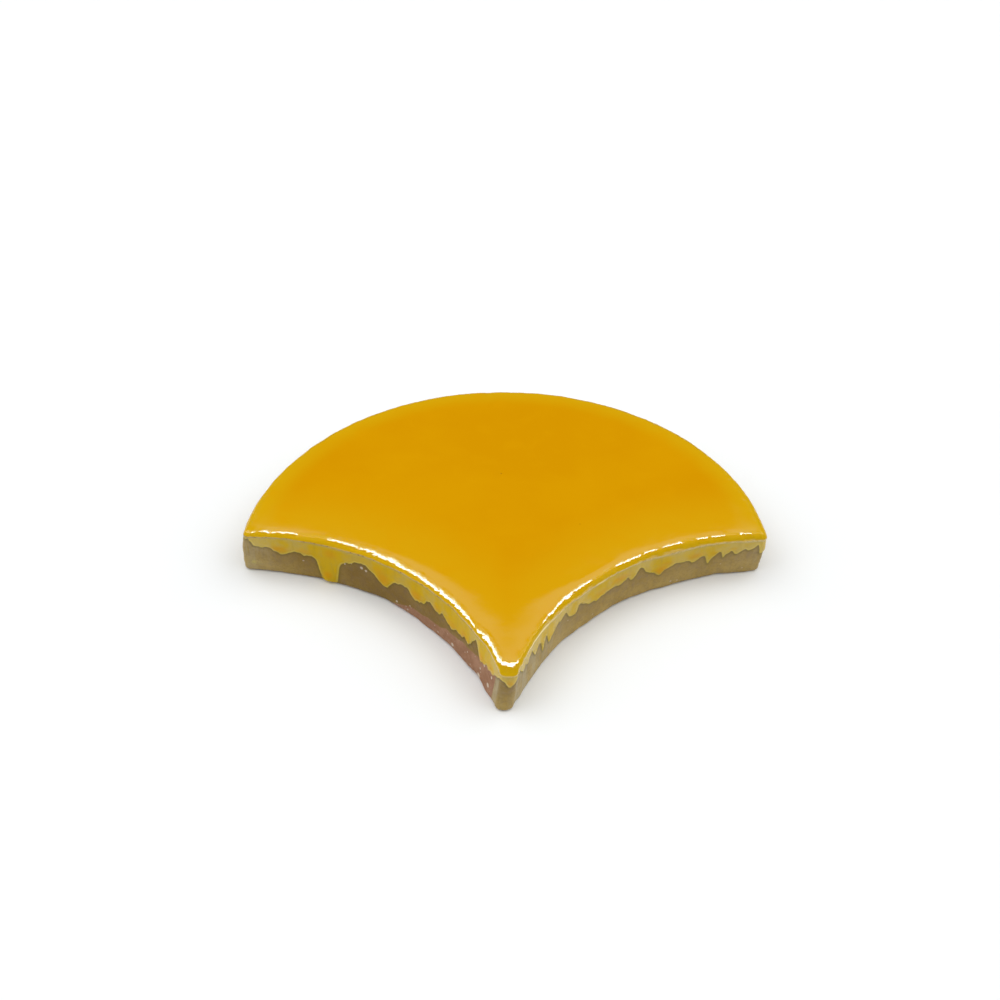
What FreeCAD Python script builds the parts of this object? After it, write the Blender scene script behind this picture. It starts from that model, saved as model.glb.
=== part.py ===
# One fish scale wall tile: a pressed red-clay body, fired in one piece with its glaze.
# Millimetres, +Z up. The tile lies on its flat back; the origin is the centre of the
# back's bounding rectangle, the rounded crown points to +Y and the nose to -Y.
#
# Plan: a half-round crown of radius half the width, and two hollow flanks of the crown's
# radius plus one joint, so that rows nest with a narrow joint. The flanks run out in a small
# round nose. Section: square walls, a soft arris at the back, and a face that is level in
# the middle and falls away in a shallow cushion to a rounded lip.
import FreeCAD, Part
import math
import os
import Sketcher
from FreeCAD import Vector

doc = FreeCAD.newDocument("fish_scale_tile")

# ---- driving dimensions ----------------------------------------------------------------
sheet = doc.addObject("Spreadsheet::Sheet", "Sheet")
DIMS = [
    ("tile_width", 127.0, "across the two side corners"),
    ("tile_thickness", 13.6, "back to the level middle of the face"),
    ("joint_width", 1.0, "joint between nested tiles"),
    ("row_pitch", 62.8, "from one row's crown centre to the next row's"),
    ("nose_radius", 2.3, "round of the nose in plan"),
    ("corner_radius", 1.3, "round of the two side corners in plan"),
    ("cushion_width", 9.0, "width of the sloping border of the face"),
    ("cushion_drop", 0.8, "how far the face falls over that border"),
    ("lip_radius", 1.2, "round of the glazed lip"),
    ("back_radius", 0.6, "round of the back's edge"),
    ("inner_nose_radius", 1.2, "nose of the face's level middle"),
]
for i, (alias, value, note) in enumerate(DIMS, 1):
    sheet.set(f"A{i}", alias)
    sheet.set(f"B{i}", str(value))
    sheet.set(f"C{i}", note)
    sheet.setAlias(f"B{i}", alias)
# derived: the hollow flank's radius is the crown's plus one joint, and the crown's centre
# stands back so that the origin is midway between the crown's top and the nose's end
row = len(DIMS) + 1
for alias, formula in (
    ("crown_radius", "=tile_width / 2"),
    ("flank_radius", "=tile_width / 2 + joint_width"),
    ("flank_centre_x", "=tile_width / 2"),
    ("nose_depth", "=row_pitch + nose_radius - sqrt((flank_radius + nose_radius)^2 - flank_centre_x^2)"),
    ("crown_centre_y", "=(nose_depth - crown_radius) / 2"),
    ("flank_centre_y", "=crown_centre_y - row_pitch"),
    ("wall_height", "=tile_thickness - cushion_drop"),
):
    sheet.set(f"A{row}", alias)
    sheet.set(f"B{row}", formula)
    sheet.setAlias(f"B{row}", alias)
    row += 1
doc.recompute()


def dim(alias):
    return float(getattr(sheet, alias))


# ---- the plan outline ------------------------------------------------------------------
def outline_points(inset, nose, corner):
    """Centres and meeting points of the six arcs of the outline, drawn in by inset."""
    crown = dim("crown_radius") - inset
    flank = dim("flank_radius") + inset
    c0 = Vector(0, dim("crown_centre_y"), 0)
    cr = Vector(dim("flank_centre_x"), dim("flank_centre_y"), 0)
    # corner circle: inside the crown, outside the flank circle
    a, b = crown - corner, flank + corner
    d = (cr - c0).Length
    along = (cr - c0) / d
    across = Vector(-along.y, along.x, 0)
    s = (a * a - b * b + d * d) / (2 * d)
    k = math.sqrt(a * a - s * s)
    cc = c0 + along * s + across * k
    # nose circle: on the centre line, outside both flank circles
    n = Vector(0, cr.y + math.sqrt((flank + nose) ** 2 - cr.x**2), 0)
    return {
        "crown": crown,
        "flank": flank,
        "c0": c0,
        "cr": cr,
        "cc": cc,
        "n": n,
        "crown_end": c0 + (cc - c0).normalize() * crown,
        "flank_end": cr + (cc - cr).normalize() * flank,
        "nose_end": cr + (n - cr).normalize() * flank,
    }


def arc(centre, radius, start, end):
    """The arc about centre that runs anticlockwise from start to end."""
    a = math.atan2(start.y - centre.y, start.x - centre.x)
    b = math.atan2(end.y - centre.y, end.x - centre.x)
    if b <= a:
        b += 2 * math.pi
    return Part.ArcOfCircle(Part.Circle(centre, Vector(0, 0, 1), radius), a, b)


def mirrored(v):
    return Vector(-v.x, v.y, v.z)


def draw_outline(sketch, inset, nose, corner, names):
    """Draws the six arcs, joins them tangent to each other and binds their sizes to the sheet."""
    p = outline_points(inset, nose, corner)
    ml = mirrored
    crown = sketch.addGeometry(arc(p["c0"], p["crown"], p["crown_end"], ml(p["crown_end"])))
    left_corner = sketch.addGeometry(arc(ml(p["cc"]), corner, ml(p["crown_end"]), ml(p["flank_end"])))
    left_flank = sketch.addGeometry(arc(ml(p["cr"]), p["flank"], ml(p["nose_end"]), ml(p["flank_end"])))
    tip = sketch.addGeometry(arc(p["n"], nose, ml(p["nose_end"]), p["nose_end"]))
    right_flank = sketch.addGeometry(arc(p["cr"], p["flank"], p["flank_end"], p["nose_end"]))
    right_corner = sketch.addGeometry(arc(p["cc"], corner, p["flank_end"], p["crown_end"]))
    START, END, CENTRE = 1, 2, 3
    C = Sketcher.Constraint
    sketch.addConstraint(
        [
            C("Tangent", crown, END, left_corner, START),
            C("Tangent", left_corner, END, left_flank, END),
            C("Tangent", left_flank, START, tip, START),
            C("Tangent", tip, END, right_flank, END),
            C("Tangent", right_flank, START, right_corner, START),
            C("Tangent", right_corner, END, crown, START),
            C("PointOnObject", crown, CENTRE, -2),
            C("Equal", left_flank, right_flank),
            C("Equal", left_corner, right_corner),
            C("Symmetric", left_flank, CENTRE, right_flank, CENTRE, -2),
        ]
    )

    def sized(name, constraint, expression):
        index = sketch.addConstraint(constraint)
        sketch.renameConstraint(index, name)
        sketch.setExpression(f"Constraints.{name}", expression)

    sized("crown_radius", C("Radius", crown, p["crown"]), names["crown"])
    sized("crown_drop", C("DistanceY", crown, CENTRE, -1, 1, -p["c0"].y), "-Sheet.crown_centre_y")
    sized("flank_radius", C("Radius", right_flank, p["flank"]), names["flank"])
    sized("flank_across", C("DistanceX", -1, 1, right_flank, CENTRE, p["cr"].x), "Sheet.flank_centre_x")
    sized("flank_drop", C("DistanceY", right_flank, CENTRE, -1, 1, -p["cr"].y), "-Sheet.flank_centre_y")
    sized("corner_radius", C("Radius", right_corner, corner), names["corner"])
    sized("nose_radius", C("Radius", tip, nose), names["nose"])


body = doc.addObject("PartDesign::Body", "Tile")
body.Label = "fish_scale_tile"
body.Placement = FreeCAD.Placement(Vector(0, 0, 0), FreeCAD.Rotation())
plane = next(f for f in body.Origin.OriginFeatures if f.Role == "XY_Plane")


def outline_sketch(name, height, *args):
    sketch = body.newObject("Sketcher::SketchObject", name)
    sketch.AttachmentSupport = [(plane, "")]
    sketch.MapMode = "FlatFace"
    if height:
        sketch.setExpression("AttachmentOffset.Base.z", height)
    draw_outline(sketch, *args)
    return sketch


OUTER = {
    "crown": "Sheet.crown_radius",
    "flank": "Sheet.flank_radius",
    "corner": "Sheet.corner_radius",
    "nose": "Sheet.nose_radius",
}
INNER = {
    "crown": "Sheet.crown_radius - Sheet.cushion_width",
    "flank": "Sheet.flank_radius + Sheet.cushion_width",
    "corner": "Sheet.corner_radius",
    "nose": "Sheet.inner_nose_radius",
}

# ---- the clay body: square walls up to the lip -------------------------------------------
wall_plan = outline_sketch("WallPlan", None, 0.0, dim("nose_radius"), dim("corner_radius"), OUTER)
doc.recompute()
walls = body.newObject("PartDesign::Pad", "Walls")
walls.Profile = wall_plan
walls.setExpression("Length", "Sheet.wall_height")
doc.recompute()
wall_volume = walls.Shape.Volume

# ---- the cushioned face: from the lip up to the level middle -----------------------------
lip_plan = outline_sketch("LipPlan", "Sheet.wall_height", 0.0, dim("nose_radius"), dim("corner_radius"), OUTER)
face_plan = outline_sketch("FacePlan", "Sheet.tile_thickness", dim("cushion_width"), dim("inner_nose_radius"), dim("corner_radius"), INNER)
doc.recompute()
face = body.newObject("PartDesign::AdditiveLoft", "Face")
face.Profile = lip_plan
face.Sections = [face_plan]
face.Ruled = True
doc.recompute()
if face.Shape.Volume <= wall_volume:
    raise SystemExit("the cushioned face added nothing")


# ---- soft edges --------------------------------------------------------------------------
def rim_edges(shape, height):
    """Names of the edges that lie wholly at this height."""
    found = []
    for i, e in enumerate(shape.Edges, 1):
        box = e.BoundBox
        if abs(box.ZMin - height) < 1e-4 and abs(box.ZMax - height) < 1e-4:
            found.append(f"Edge{i}")
    return found


back = body.newObject("PartDesign::Fillet", "BackEdge")
back.Base = (face, rim_edges(face.Shape, 0.0))
back.setExpression("Radius", "Sheet.back_radius")
doc.recompute()
lip = body.newObject("PartDesign::Fillet", "Lip")
lip.Base = (back, rim_edges(back.Shape, dim("wall_height")))
lip.setExpression("Radius", "Sheet.lip_radius")
body.Tip = lip
doc.recompute()

# ---- check, then write -------------------------------------------------------------------
for o in doc.Objects:
    if {"Invalid", "Error"} & set(o.State):
        raise SystemExit(f"{o.Name} failed: {o.State}")
for sub in (body,):
    shape = sub.Shape
    if shape.isNull() or not shape.isValid() or len(shape.Solids) != 1:
        raise SystemExit(f"{sub.Label} isn't one valid solid")
os.makedirs("parts", exist_ok=True)
body.Shape.exportStep(os.path.join("parts", body.Label + ".step"))
box = body.Shape.BoundBox
print(body.Label, [round(v, 3) for v in (box.XMin, box.XMax, box.YMin, box.YMax, box.ZMin, box.ZMax)], "volume", round(body.Shape.Volume, 1), "faces", len(body.Shape.Faces))
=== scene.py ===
import math

import bpy
import numpy as np
from mathutils import Matrix, Vector
from mathutils.geometry import delaunay_2d_cdt
from mathutils.kdtree import KDTree


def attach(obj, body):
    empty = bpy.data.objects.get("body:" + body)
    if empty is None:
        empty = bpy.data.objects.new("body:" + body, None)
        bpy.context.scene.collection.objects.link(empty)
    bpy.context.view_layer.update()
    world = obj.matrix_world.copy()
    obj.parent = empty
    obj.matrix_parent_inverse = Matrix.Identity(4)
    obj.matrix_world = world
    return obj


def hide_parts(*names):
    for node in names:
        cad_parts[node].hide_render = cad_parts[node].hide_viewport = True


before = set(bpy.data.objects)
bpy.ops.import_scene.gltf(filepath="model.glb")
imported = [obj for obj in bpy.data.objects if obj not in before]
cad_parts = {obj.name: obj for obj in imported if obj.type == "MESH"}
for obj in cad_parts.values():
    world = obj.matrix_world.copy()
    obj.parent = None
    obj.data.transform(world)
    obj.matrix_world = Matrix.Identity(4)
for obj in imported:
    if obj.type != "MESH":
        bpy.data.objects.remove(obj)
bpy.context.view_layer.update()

scene = bpy.context.scene
MM = 0.001


# ---------------------------------------------------------------- smooth seeded noise
def field(seed, shortest, longest, count=56):
    """A smooth random field over space with features between two wavelengths, about +-1."""
    r = np.random.RandomState(seed)
    d = r.normal(size=(count, 3))
    d /= np.linalg.norm(d, axis=1)[:, None]
    lam = np.exp(r.uniform(math.log(shortest), math.log(longest), count))
    k = d * (2 * math.pi / lam)[:, None]
    ph = r.uniform(0, 2 * math.pi, count)

    def at(x, y, z=0.0):
        x, y, z = np.broadcast_arrays(x, y, z)
        total = np.zeros(x.shape)
        for (a, b, c), p in zip(k, ph):
            total += np.sin(a * x + b * y + c * z + p)
        return total * math.sqrt(1.0 / count)

    return at


def smooth(x, lo, hi):
    t = np.clip((np.asarray(x, float) - lo) / (hi - lo), 0, 1)
    return t * t * (3 - 2 * t)


# ---------------------------------------------------------------- plan of the tile
HALF, FLANK, CROWN_Y = 63.5, 64.5, -9.5681  # crown radius, flank radius, crown centre
FLANK_Y = CROWN_Y - 62.8
TOP = 13.6  # level middle of the face


def arcs(inset):
    """The six arcs of the outline drawn in by inset: centre, radius, first and last angle, side of the clay."""
    corner = max(1.3 - 0.3 * inset, 0.5)
    nose = max(2.3 - 0.35 * inset, 0.9)
    crown, flank = HALF - inset, FLANK + inset
    c0, cr = np.array([0.0, CROWN_Y]), np.array([HALF, FLANK_Y])
    a, b, d = crown - corner, flank + corner, np.linalg.norm(cr - c0)
    along = (cr - c0) / d
    across = np.array([-along[1], along[0]])
    s = (a * a - b * b + d * d) / (2 * d)
    cc = c0 + along * s + across * math.sqrt(a * a - s * s)
    n = np.array([0.0, FLANK_Y + math.sqrt((flank + nose) ** 2 - HALF**2)])
    flip = np.array([-1.0, 1.0])
    cl, ccl = cr * flip, cc * flip
    turn = lambda v: math.atan2(v[1], v[0])
    a_r = turn(cc - c0)
    full = 2 * math.pi
    lc0, lc1 = math.pi - a_r, turn(cl - ccl) % full
    n0, n1 = turn(cl - n) % full, turn(cr - n) % full
    rc0, rc1 = turn(cr - cc) % full, a_r + full
    return [
        (c0, crown, a_r, math.pi - a_r, 1),
        (ccl, corner, lc0, lc1, 1),
        (cl, flank, turn(ccl - cl), turn(n - cl), -1),
        (n, nose, n0, n1, 1),
        (cr, flank, turn(n - cr), turn(cc - cr), -1),
        (cc, corner, rc0, rc1, 1),
    ]


# columns: points along the outline, anticlockwise from the right-hand end of the crown
COUNTS = [560, 12, 330, 26, 330, 12]
seg = np.concatenate([np.full(m, i) for i, m in enumerate(COUNTS)])
frac = np.concatenate([np.arange(m) / m for m in COUNTS])
N = len(seg)


def ring(inset):
    table = arcs(inset)
    c = np.array([t[0] for t in table])[seg]
    r = np.array([t[1] for t in table])[seg]
    a0 = np.array([t[2] for t in table])[seg]
    a1 = np.array([t[3] for t in table])[seg]
    a = a0 + (a1 - a0) * frac
    blunt = lambda v: (np.abs(np.cos(v)) ** 3.2 + np.abs(np.sin(v)) ** 3.2) ** (-1 / 3.2)
    r = np.where(seg == 3, r * blunt(a) / blunt(a0), r)  # the nose is cut a little blunt
    return c + r[:, None] * np.stack([np.cos(a), np.sin(a)], -1), a


INSETS = np.arange(-2.6, 8.01, 0.1)
PATHS = np.stack([ring(d)[0] for d in INSETS])


def place(inset):
    """Plan position of every column at its own inset from the outline."""
    q = np.clip((np.broadcast_to(inset, (N,)) - INSETS[0]) / 0.1, 0, len(INSETS) - 1.001)
    i = q.astype(int)
    w = (q - i)[:, None]
    cols = np.arange(N)
    return PATHS[i, cols] * (1 - w) + PATHS[i + 1, cols] * w


edge, angle = ring(0.0)
step = np.linalg.norm(np.roll(edge, -1, 0) - edge, axis=1)
along = np.concatenate([[0.0], np.cumsum(step)[:-1]])  # length along the outline
GIRTH = step.sum()
left, right, crown_part, nose_part = seg == 2, seg == 4, seg == 0, seg == 3
t_left = FLANK * (math.pi / 2 - angle)  # along a flank from its side corner to the nose
t_right = FLANK * (angle - math.pi / 2)
s_left = lambda t: np.interp(t, t_left[left], along[left])
s_right = lambda t: np.interp(-np.asarray(t, float), -t_right[right], along[right])
s_nose = lambda f: np.interp(f, frac[nose_part], along[nose_part])
s_crown = lambda f: np.interp(f, frac[crown_part], along[crown_part])


def by_length(points):
    """A closed curve of a value along the outline through (length, value) pairs."""
    p = sorted((float(a) % GIRTH, float(b)) for a, b in points)
    s, v = np.array(p).T
    return lambda x: np.interp(np.asarray(x) % GIRTH, s, v, period=GIRTH)


# ---------------------------------------------------------------- what the hand-work left
wob_long, wob_mid, wob_fine = field(3, 18, 60), field(4, 5, 14), field(5, 1.2, 3.2)

# height of the arris, where the rolled lip meets the wall
arris_curve = by_length(
    [(s_left(t), z) for t, z in ((1, 12.15), (6, 12.25), (14, 12.12), (24, 11.92), (35, 12.2), (47, 12.35), (58, 12.38), (66, 12.4), (76, 12.45))]
    + [(s_nose(f), z) for f, z in ((0.2, 11.9), (0.5, 11.78), (0.8, 11.86))]
    + [(s_right(t), z) for t, z in ((1, 11.55), (4, 11.5), (6, 11.65), (8, 11.78), (13, 11.85), (16, 11.7), (20, 11.5), (24, 11.3), (28, 11.55), (32, 11.9), (36, 12.05), (40, 12.0), (48, 11.72), (52, 11.72), (56, 11.95), (60, 11.78), (64, 11.85), (68, 11.9), (73, 12.0), (78, 12.05))]
    + [(s_crown(f), z) for f, z in ((0.08, 12.1), (0.25, 12.2), (0.45, 12.0), (0.62, 12.2), (0.8, 12.05), (0.93, 12.1))]
)
z_arris = arris_curve(along) - 0.12 + 0.05 * wob_mid(edge[:, 0], edge[:, 1])
plan_wobble = 0.10 * wob_mid(edge[:, 0] + 40, edge[:, 1]) + 0.045 * wob_fine(edge[:, 0], edge[:, 1])
plan_wobble *= 1 - 0.5 * (nose_part | (seg == 1) | (seg == 5)) - 0.6 * crown_part
plan_wobble -= 0.12
plan_wobble += 0.30 * by_length([(s_right(t), v) for t, v in ((1, 0.6), (4, 1), (60, 1), (68, 0.4), (74, 0))] + [(s_left(t), 0) for t in (1, 79)] + [(s_crown(f), 0) for f in (0.02, 0.98)])(along)

# how far the wall leans out (+) or in (-) at its foot
lean_curve = by_length(
    [(s_left(t), v) for t, v in ((0.8, 0.0), (12.5, 0.0), (20, 0.15), (24.6, 0.2), (27.5, 0.15), (31, 0.05), (33.5, -0.05), (35.5, -0.15), (38, 0.1), (40, 0.3), (43, 0.3), (45, 0.45), (47.6, 0.6), (50, 0.83), (55, 1.05), (61.5, 1.1), (66, 0.95), (69, 0.72), (75, 0.3), (79, 0.0))]
    + [(s_nose(f), v) for f, v in ((0.1, 0.0), (0.9, 0.0))]
    + [(s_right(t), v) for t, v in ((0.8, 0.0), (24, 0.0), (31, -0.18), (36, -0.32), (40, -0.36), (44, -0.06), (49, 0.1), (52, -0.05), (57, -0.3), (61, -0.28), (67, -0.04), (72, 0.2), (77, 0.2), (79, 0.1))]
    + [(s_crown(f), v) for f, v in ((0.01, 0.0), (0.06, -0.1), (0.2, -0.2), (0.35, 0.0), (0.5, -0.25), (0.7, -0.05), (0.85, -0.3), (0.95, -0.1), (0.99, 0.0))]
)
lean = lean_curve(along) + 0.06 * wob_long(edge[:, 0], edge[:, 1] + 9) * smooth(np.abs(edge[:, 0]), 62, 56) * smooth(-edge[:, 1], 50, 44)


def settle(x, y, z):
    """How the foot of the wall stands away from the lip at the two side corners and the nose."""
    low = np.clip(1 - z / 12.2, 0, 1) ** 1.1
    near = smooth(y, 16, -6)
    by_left = np.interp(-x, (36, 46, 51, 58.7, 63.5), (0, 0.45, 0.45, 1.0, 1.3)) * near
    by_right = np.interp(x, (39, 43.2, 47.6, 51.6, 55.7, 59.7, 63.5), (0, 0.0, 0.5, 0.82, 0.72, 1.15, 1.5)) * near
    nose = smooth(-y, 36, 51)
    out_left = smooth(-x, 44, 63) * smooth(y, 34, -4)
    out_right = smooth(x, 48, 63) * smooth(y, 30, -4)
    dx = -out_left * np.maximum(0.15 + 1.80 * np.clip(1 - z / 12.4, 0, 1) ** 0.35, 0.4) + out_right * np.interp(z, (0, 4, 6.5, 8, 11, 12.3, 13.2), (-0.15, 0.05, 0.3, 0.45, 0.35, 0.1, -0.1))
    dx = dx + nose * (0.35 * (1 - low) - 0.70 * low) + smooth(-y, 44, 51) * low * 0.03 * x
    dy = (by_left + by_right) * low + smooth(-y, 48, 52) * low * (0.42 + 0.04 * np.minimum(x * x, 12.0))
    return dx, dy


foot = 0.95 + 0.22 * wob_mid(edge[:, 0], edge[:, 1] + 70)  # round of the wall's foot
foot = foot * (1 - 0.4 * smooth(-edge[:, 1], 44, 51))

# ---------------------------------------------------------------- the run glaze
# depth of the glaze below the arris, along each wall
LEFT_RUN = [
    (0.7, 0.4), (1.4, 0.8), (2.8, 3.1), (3.8, 3.4), (6.1, 3.2), (7.9, 4.4), (9.0, 5.5), (9.8, 5.2), (11.1, 4.5), (12.4, 3.5), (13.1, 3.8),
    (14.0, 4.4), (16.2, 4.4), (17.0, 4.8), (17.7, 5.9), (18.15, 7.6), (18.1, 9.2), (18.05, 9.9), (18.35, 10.8), (19.2, 11.4), (20.4, 11.65), (21.7, 11.5), (22.7, 11.2), (23.0, 10.3),
    (22.9, 9.0), (23.0, 7.2), (23.4, 5.7), (24.3, 4.2), (26.3, 3.4), (27.4, 2.9), (28.3, 2.5), (29.4, 2.9), (31.3, 3.1), (33.2, 4.5), (34.5, 6.2),
    (35.4, 7.0), (36.1, 7.3), (36.9, 6.8), (38.1, 5.2), (39.5, 4.2), (40.9, 3.8), (42.1, 4.0), (42.9, 3.6), (43.7, 4.2), (44.6, 5.6), (45.4, 6.2),
    (46.8, 6.1), (48.5, 5.5), (49.8, 4.3), (50.6, 3.5), (51.4, 4.4), (52.4, 5.1), (54.1, 4.8), (55.3, 4.5), (56.2, 4.9), (57.4, 5.8),
    (58.8, 6.0), (60.0, 5.6), (61.2, 5.3), (62.4, 5.6), (63.6, 5.2), (64.6, 5.6), (65.5, 5.9), (66.5, 4.6), (67.7, 2.6), (68.8, 1.6), (69.4, 2.6), (69.9, 4.6),
    (70.8, 6.0), (71.6, 6.2), (72.6, 5.6), (73.8, 4.7), (74.4, 4.2), (75.0, 5.2), (76.3, 4.9), (77.6, 4.6), (78.8, 4.0), (79.8, 3.2),
]
RIGHT_RUN = [
    (0.2, 4.9), (0.7, 4.4), (1.3, 2.6), (1.9, 1.5), (2.4, 1.8), (3.4, 2.9), (4.4, 3.6), (5.1, 2.7), (6.2, 3.5), (7.2, 4.4), (7.7, 4.1), (8.4, 3.2), (9.3, 3.5), (9.9, 3.8), (10.3, 6.4),
    (10.7, 4.0), (11.0, 3.2), (11.6, 3.7), (12.7, 4.7), (13.5, 5.6), (14.1, 6.8), (14.6, 5.0), (15.0, 3.5), (15.9, 3.9), (16.7, 4.5), (17.5, 4.6), (18.3, 5.3), (18.9, 3.8), (20.3, 3.9),
    (22.7, 3.7), (23.5, 4.5), (24.7, 4.7), (26.0, 5.2), (27.3, 6.2), (28.5, 4.9), (30.0, 4.4), (31.4, 3.6), (32.0, 2.2), (32.5, 1.7), (33.0, 2.3), (33.7, 3.5),
    (34.7, 5.2), (35.4, 4.7), (36.3, 3.8), (37.2, 4.4), (38.2, 4.9), (39.6, 4.6), (41.6, 4.9), (43.7, 5.2), (45.2, 5.4), (47.0, 5.2), (48.8, 4.6),
    (50.6, 3.6), (51.6, 2.6), (52.2, 2.8), (52.7, 4.8), (53.7, 5.4), (54.5, 5.2), (55.6, 4.1), (56.5, 2.6), (57.1, 2.1), (57.7, 2.8), (59.0, 3.5),
    (59.7, 2.9), (60.6, 3.9), (61.8, 5.2), (62.7, 6.2), (63.4, 6.3), (64.0, 5.6), (64.5, 4.0), (65.0, 2.8), (65.5, 4.2), (65.9, 5.6), (66.3, 7.8),
    (66.7, 6.0), (67.2, 4.4), (68.4, 2.7), (69.3, 4.2), (70.1, 4.8), (70.9, 4.0), (71.8, 2.5), (72.6, 2.2), (73.3, 3.2), (74.2, 4.6), (74.9, 3.4), (75.8, 2.2),
    (76.6, 3.4), (77.4, 4.0), (78.2, 2.6), (79.2, 2.0),
]
NOSE_RUN = [(0.0, 2.6), (0.1, 1.9), (0.25, 1.7), (0.38, 2.2), (0.5, 2.8), (0.62, 3.5), (0.7, 3.3), (0.8, 2.4), (0.92, 1.8)]


def crown_run():
    """Drips for the crown wall: shallow scallops of uneven width, and a few that ran on."""
    r = np.random.RandomState(21)
    s, out = 1.2, []
    end = along[crown_part][-1] - 1.0
    long_ones = set(r.choice(np.arange(3, 26), 6, replace=False).tolist())
    i = 0
    while s < end:
        wide = r.uniform(3.6, 8.8)
        tip = r.uniform(3.9, 6.2)
        notch = r.uniform(2.2, 3.6)
        out.append((s, notch))
        if i in long_ones:
            tip = r.uniform(7.6, 11.4)
            w = r.uniform(1.7, 2.4)
            m = s + wide * 0.5
            shoulder = r.uniform(4.0, 5.0)
            out += [(m - w - 0.8, shoulder), (m - w, shoulder + 1.0), (m - 0.8 * w, tip - 1.5), (m - 0.4 * w, tip - 0.2), (m + 0.1, tip), (m + 0.5 * w, tip - 0.4), (m + 0.8 * w, tip - 1.8), (m + w, shoulder + 0.8), (m + w + 0.9, shoulder - 0.3)]
            wide = max(wide, 2 * w + 2.8)
        else:
            m = s + wide * r.uniform(0.35, 0.65)
            k = wide * 0.16
            out += [(m - 1.7 * k, tip - r.uniform(0.5, 1.1)), (m - 0.6 * k, tip - 0.1), (m + 0.5 * k, tip), (m + 1.6 * k, tip - r.uniform(0.4, 1.0))]
        s += wide
        i += 1
    out = [(a, b) for a, b in out if 5.0 < a < end - 5.0]
    return out + [(1.0, 4.4), (2.6, 3.4), (end - 3.6, 1.6), (end - 1.6, 0.5), (end, 0.35)]


run_points = (
    [(s_left(t), d) for t, d in LEFT_RUN]
    + [(s_right(t), d) for t, d in RIGHT_RUN]
    + [(s_nose(f), d) for f, d in NOSE_RUN]
    + crown_run()
)
run_s = np.arange(0, GIRTH, 0.05)
raw = by_length(run_points)(run_s)
jit = np.random.RandomState(8).normal(size=len(run_s))
kern = lambda w: np.exp(-0.5 * (np.arange(-int(4 * w), int(4 * w) + 1) / w) ** 2)


def blur(v, w):
    k = kern(w)
    k /= k.sum()
    pad = len(k)
    return np.convolve(np.concatenate([v[-pad:], v, v[:pad]]), k, "same")[pad:-pad]


raw = blur(raw, 4.0) + 0.9 * blur(jit, 7.0)
run_depth = np.clip(raw, 0.15, 12.3)
line = []
for i in range(len(run_s)):
    a, b = run_depth[i], run_depth[(i + 1) % len(run_s)]
    m = max(1, int(abs(b - a) / 0.06))
    for j in range(m):
        line.append((run_s[i] + 0.05 * j / m, a + (b - a) * j / m))
line = np.array(line)
line = np.concatenate([line, line[line[:, 0] > GIRTH - 6] - [GIRTH, 0], line[line[:, 0] < 6] + [GIRTH, 0]])
tree = KDTree(len(line))
for i, (a, b) in enumerate(line):
    tree.insert((a, b, 0.0), i)
tree.balance()


def run_distance(s, depth):
    """Distance inside (+) or outside (-) the run glaze, on the unrolled wall."""
    out = np.empty(s.shape)
    for i, (a, b) in enumerate(zip(s.ravel(), depth.ravel())):
        out.flat[i] = tree.find((a, b, 0.0))[2]
    edge_here = np.interp(s, run_s, run_depth, period=GIRTH)
    return np.where(depth < edge_here, out, -out)


# spots where the glaze has pooled thick and orange: (length, depth, half-width, half-height, strength)
POOLS = (
    [(s_left(t), d, w, h, k) for t, d, w, h, k in (
        (20.4, 8.9, 1.25, 1.0, 1.0), (21.2, 2.2, 2.0, 1.6, 0.75), (9.0, 3.4, 2.4, 1.2, 0.8), (14.8, 3.0, 2.2, 1.0, 0.55), (35.8, 4.6, 1.9, 2.0, 1.0), (34.8, 2.6, 2.4, 1.4, 0.6),
        (46.0, 4.2, 2.0, 1.5, 0.95), (53.0, 3.6, 1.6, 1.2, 0.6), (58.6, 4.6, 2.6, 1.5, 0.6), (63.5, 4.4, 1.5, 1.8, 0.85), (71.4, 4.4, 1.4, 1.4, 0.8), (76.5, 3.2, 1.6, 1.2, 0.6),
    )]
    + [(s_right(t), d, w, h, k) for t, d, w, h, k in (
        (26.7, 4.6, 2.0, 1.5, 1.0), (25.4, 2.8, 2.6, 1.0, 0.55), (17.6, 2.8, 2.2, 1.1, 0.7), (13.0, 3.4, 1.2, 1.0, 0.45), (8.2, 2.4, 1.6, 0.9, 0.4), (38.6, 2.6, 3.2, 1.2, 0.75), (44.5, 3.6, 2.6, 1.1, 0.6),
        (53.6, 3.8, 1.0, 1.0, 0.35), (62.8, 4.2, 1.2, 1.4, 0.3),
    )]
    + [(s_nose(0.6), 2.0, 1.2, 1.0, 0.6)]
)
pool_seed = np.random.RandomState(33)
for s_tip, d_tip in [p for p in crown_run() if p[1] > 4.4]:
    POOLS.append((s_tip, d_tip - pool_seed.uniform(1.0, 1.8), pool_seed.uniform(1.2, 2.2), pool_seed.uniform(0.9, 1.6), pool_seed.uniform(0.3, 0.95)))


def pooled(s, depth):
    total = np.zeros(s.shape)
    for a, b, w, h, k in POOLS:
        ds = (s - a + GIRTH / 2) % GIRTH - GIRTH / 2
        total = np.maximum(total, k * np.exp(-((ds / w) ** 2) - ((depth - b) / h) ** 2))
    return total


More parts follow.
